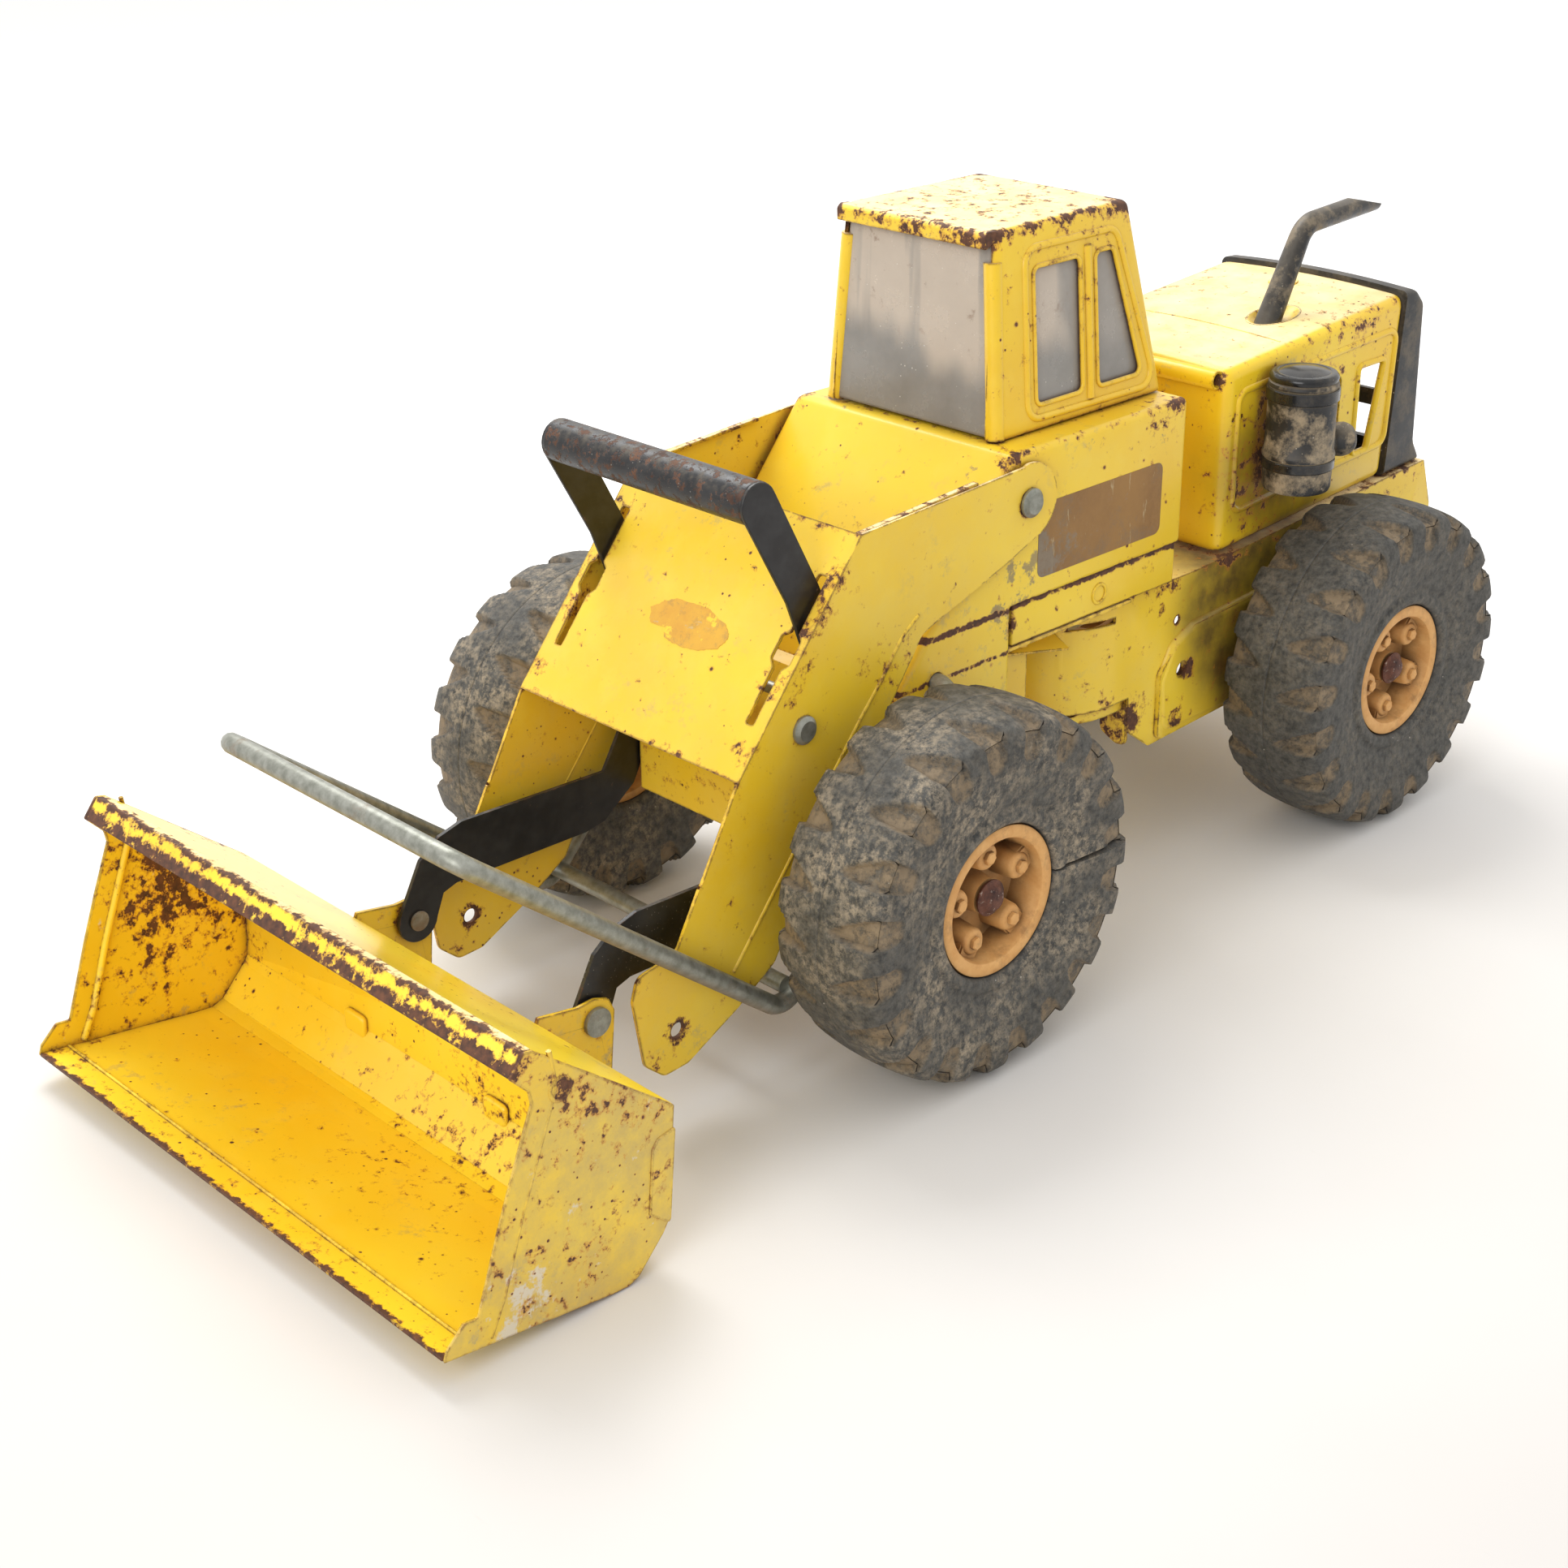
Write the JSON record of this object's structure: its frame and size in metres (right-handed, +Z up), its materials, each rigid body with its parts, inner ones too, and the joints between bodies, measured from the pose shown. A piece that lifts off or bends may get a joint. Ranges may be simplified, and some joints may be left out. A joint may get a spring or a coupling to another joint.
{
  "type": "toy wheel loader",
  "caption": "Articulated pressed-steel toy wheel loader with wide bucket, lift bail, tilt handle, cab and free-rolling tyres.",
  "frame": {"origin": "on the floor, at the middle of the overall length and width", "axes": "+X to the loader's own left, across its width, -Y forward to the bucket, +Z up"},
  "size_m": [0.233, 0.581, 0.262],
  "materials": {
    "yellow_paint": "semi-gloss enamel, chipped and rusted",
    "black_paint": "semi-gloss enamel, chipped",
    "black_plastic": "matte, dusty",
    "smoked_plastic": "frosted smoked film",
    "zinc_steel": "dull zinc",
    "rusty_steel": "rusted",
    "tyre_rubber": "matte, dusty",
    "hub_plastic": "faded"
  },
  "bodies": {
    "front_chassis": {"cab_base": "yellow_paint", "cab_shell": "yellow_paint", "cab_glazing": "smoked_plastic", "front_frame": "yellow_paint", "front_axle": "zinc_steel", "front_axle_caps": "rusty_steel", "lift_rivets": "zinc_steel", "steer_pin": "zinc_steel"},
    "rear_chassis": {"rear_frame": "yellow_paint", "rear_axle": "zinc_steel", "rear_axle_caps": "rusty_steel", "hood": "yellow_paint", "grille": "black_plastic", "exhaust_stack": "black_plastic", "air_cleaner": "black_plastic"},
    "lift_arms": {"loader_arms": "yellow_paint", "tilt_rivets": "zinc_steel"},
    "tilt_handle": {"tilt_lever": "black_paint"},
    "tilt_linkage": {"tilt_links": "black_paint", "crank_pin": "zinc_steel"},
    "bucket": {"bucket_shell": "yellow_paint", "bucket_sides": "yellow_paint", "bucket_brackets": "yellow_paint", "ear_rivets": "zinc_steel"},
    "lift_bail": {"bail_wire": "zinc_steel", "bail_cross_bar": "zinc_steel"},
    "wheel_front_left": {"tyre_front_left": "tyre_rubber", "hub_front_left": "hub_plastic"},
    "wheel_front_right": {"tyre_front_right": "tyre_rubber", "hub_front_right": "hub_plastic"},
    "wheel_rear_left": {"tyre_rear_left": "tyre_rubber", "hub_rear_left": "hub_plastic"},
    "wheel_rear_right": {"tyre_rear_right": "tyre_rubber", "hub_rear_right": "hub_plastic"}
  },
  "joints": [
    {"name": "steer", "type": "hinge", "parent": "front_chassis", "child": "rear_chassis", "pos_m": [0, 0.082, 0.095], "axis": [0, 0, 1], "range_deg": [-28, 28]},
    {"name": "lift", "type": "hinge", "parent": "front_chassis", "child": "lift_arms", "pos_m": [0, 0.0175, 0.172], "axis": [-1, 0, 0], "range_deg": [0, 30]},
    {"name": "bail_swing", "type": "hinge", "parent": "front_chassis", "child": "lift_bail", "pos_m": [0, -0.026, 0.117], "axis": [-1, 0, 0], "range_deg": [0, 48]},
    {"name": "tilt", "type": "hinge", "parent": "lift_arms", "child": "tilt_handle", "pos_m": [0, -0.0922, 0.121], "axis": [1, 0, 0], "range_deg": [0, 15]},
    {"name": "crank", "type": "hinge", "parent": "tilt_handle", "child": "tilt_linkage", "pos_m": [0, -0.0625, 0.113], "axis": [-1, 0, 0], "range_deg": [0, 17]},
    {"name": "curl", "type": "hinge", "parent": "tilt_linkage", "child": "bucket", "pos_m": [0, -0.179, 0.045], "axis": [-1, 0, 0], "range_deg": [0, 12]},
    {"name": "roll_front_left", "type": "hinge", "parent": "front_chassis", "child": "wheel_front_left", "pos_m": [0.0935, -0.058, 0.066], "axis": [1, 0, 0], "continuous": true},
    {"name": "roll_front_right", "type": "hinge", "parent": "front_chassis", "child": "wheel_front_right", "pos_m": [-0.0935, -0.058, 0.066], "axis": [1, 0, 0], "continuous": true},
    {"name": "roll_rear_left", "type": "hinge", "parent": "rear_chassis", "child": "wheel_rear_left", "pos_m": [0.0765, 0.202, 0.066], "axis": [1, 0, 0], "continuous": true},
    {"name": "roll_rear_right", "type": "hinge", "parent": "rear_chassis", "child": "wheel_rear_right", "pos_m": [-0.0765, 0.202, 0.066], "axis": [1, 0, 0], "continuous": true}
  ],
  "couplings": [
    {"joint": "bail_swing", "follows": "lift", "ratio": 1.58},
    {"joint": "crank", "follows": "tilt", "ratio": 1.1}
  ]
}
